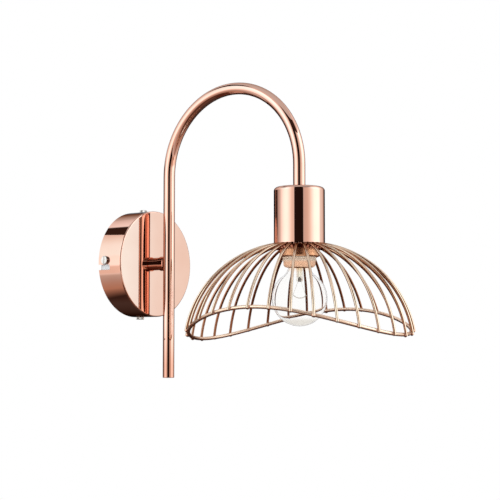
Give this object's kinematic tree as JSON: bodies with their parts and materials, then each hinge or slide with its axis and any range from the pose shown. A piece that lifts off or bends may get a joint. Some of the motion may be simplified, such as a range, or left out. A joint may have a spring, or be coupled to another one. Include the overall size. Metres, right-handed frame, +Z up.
{
  "type": "wall sconce",
  "caption": "Wall light with a round canopy, a bent hook tube, a cylindrical lampholder cup and a wavy wire cage shade over a small round bulb.",
  "frame": {"origin": "centre of the wall bracket's back face, where the canopy's axis meets the wall", "axes": "+Z up, the light stands out from the wall along -Y, +X to the right as seen from the room"},
  "size_m": [0.1762, 0.2733, 0.2505],
  "materials": {
    "copper_plate": "polished copper plating",
    "copper_wire": "copper-plated wire",
    "brown_ring": "metallised copper-brown",
    "zinc_plate": "bright zinc",
    "nickel_plate": "bright nickel",
    "cream_plastic": "smooth",
    "white_plastic": "smooth",
    "black_glass": "fused",
    "brass": "bright",
    "clear_glass": "clear",
    "bulb_cap_metal": "rolled",
    "solder": "dull",
    "tungsten": "dull",
    "live_sheath": "smooth",
    "neutral_sheath": "smooth",
    "earth_sheath": "green and yellow"
  },
  "bodies": {
    "light": {"wall_bracket": "zinc_plate", "canopy": "copper_plate", "canopy_side_screws": "nickel_plate", "nipple": "zinc_plate", "nipple_washer": "zinc_plate", "nipple_nut": "zinc_plate", "wire_bush": "white_plastic", "stub_sleeve": "copper_plate", "saddle_collar": "copper_plate", "hook_tube": "copper_plate", "tail_plug": "copper_plate", "lampholder_cup": "copper_plate", "cup_washer": "zinc_plate", "cup_nut": "zinc_plate", "holder_cap": "cream_plastic", "holder_body": "cream_plastic", "socket_shell": "brass", "centre_contact": "brass", "holder_terminals": "brass", "holder_terminal_screws": "nickel_plate", "live_wire": "live_sheath", "neutral_wire": "neutral_sheath", "earth_wire": "earth_sheath", "earth_tag": "nickel_plate", "earth_screw": "zinc_plate", "terminal_block": "white_plastic", "terminal_block_sleeves": "brass", "terminal_block_screws": "zinc_plate"},
    "shade": {"shade_hub": "copper_wire", "shade_ribs": "copper_wire", "shade_rim": "copper_wire"},
    "shade_ring": {"shade_ring": "brown_ring"},
    "bulb_foot": {"bulb_contact": "solder", "bulb_insulator": "black_glass"},
    "bulb": {"bulb_glass": "clear_glass", "bulb_cap": "bulb_cap_metal", "bulb_stem": "clear_glass", "filament": "tungsten", "filament_supports": "tungsten"}
  },
  "joints": [
    {"name": "shade_travel", "type": "slide", "parent": "light", "child": "shade", "axis": [0, 0, -1], "range_m": [0, 0.013]},
    {"name": "ring_turn", "type": "hinge", "parent": "shade", "child": "shade_ring", "pos_m": [0, -0.18, 0], "axis": [0, 0, -1], "range_deg": [0, 2340]},
    {"name": "bulb_travel", "type": "slide", "parent": "light", "child": "bulb_foot", "axis": [0, 0, -1], "range_m": [0, 0.0141]},
    {"name": "bulb_turn", "type": "hinge", "parent": "bulb_foot", "child": "bulb", "pos_m": [0, -0.18, 0], "axis": [0, 0, -1], "range_deg": [0, 1800]}
  ],
  "couplings": [
    {"joint": "ring_turn", "follows": "shade_travel", "rad_per_m": 3141.6},
    {"joint": "bulb_turn", "follows": "bulb_travel", "rad_per_m": 2228.1}
  ]
}
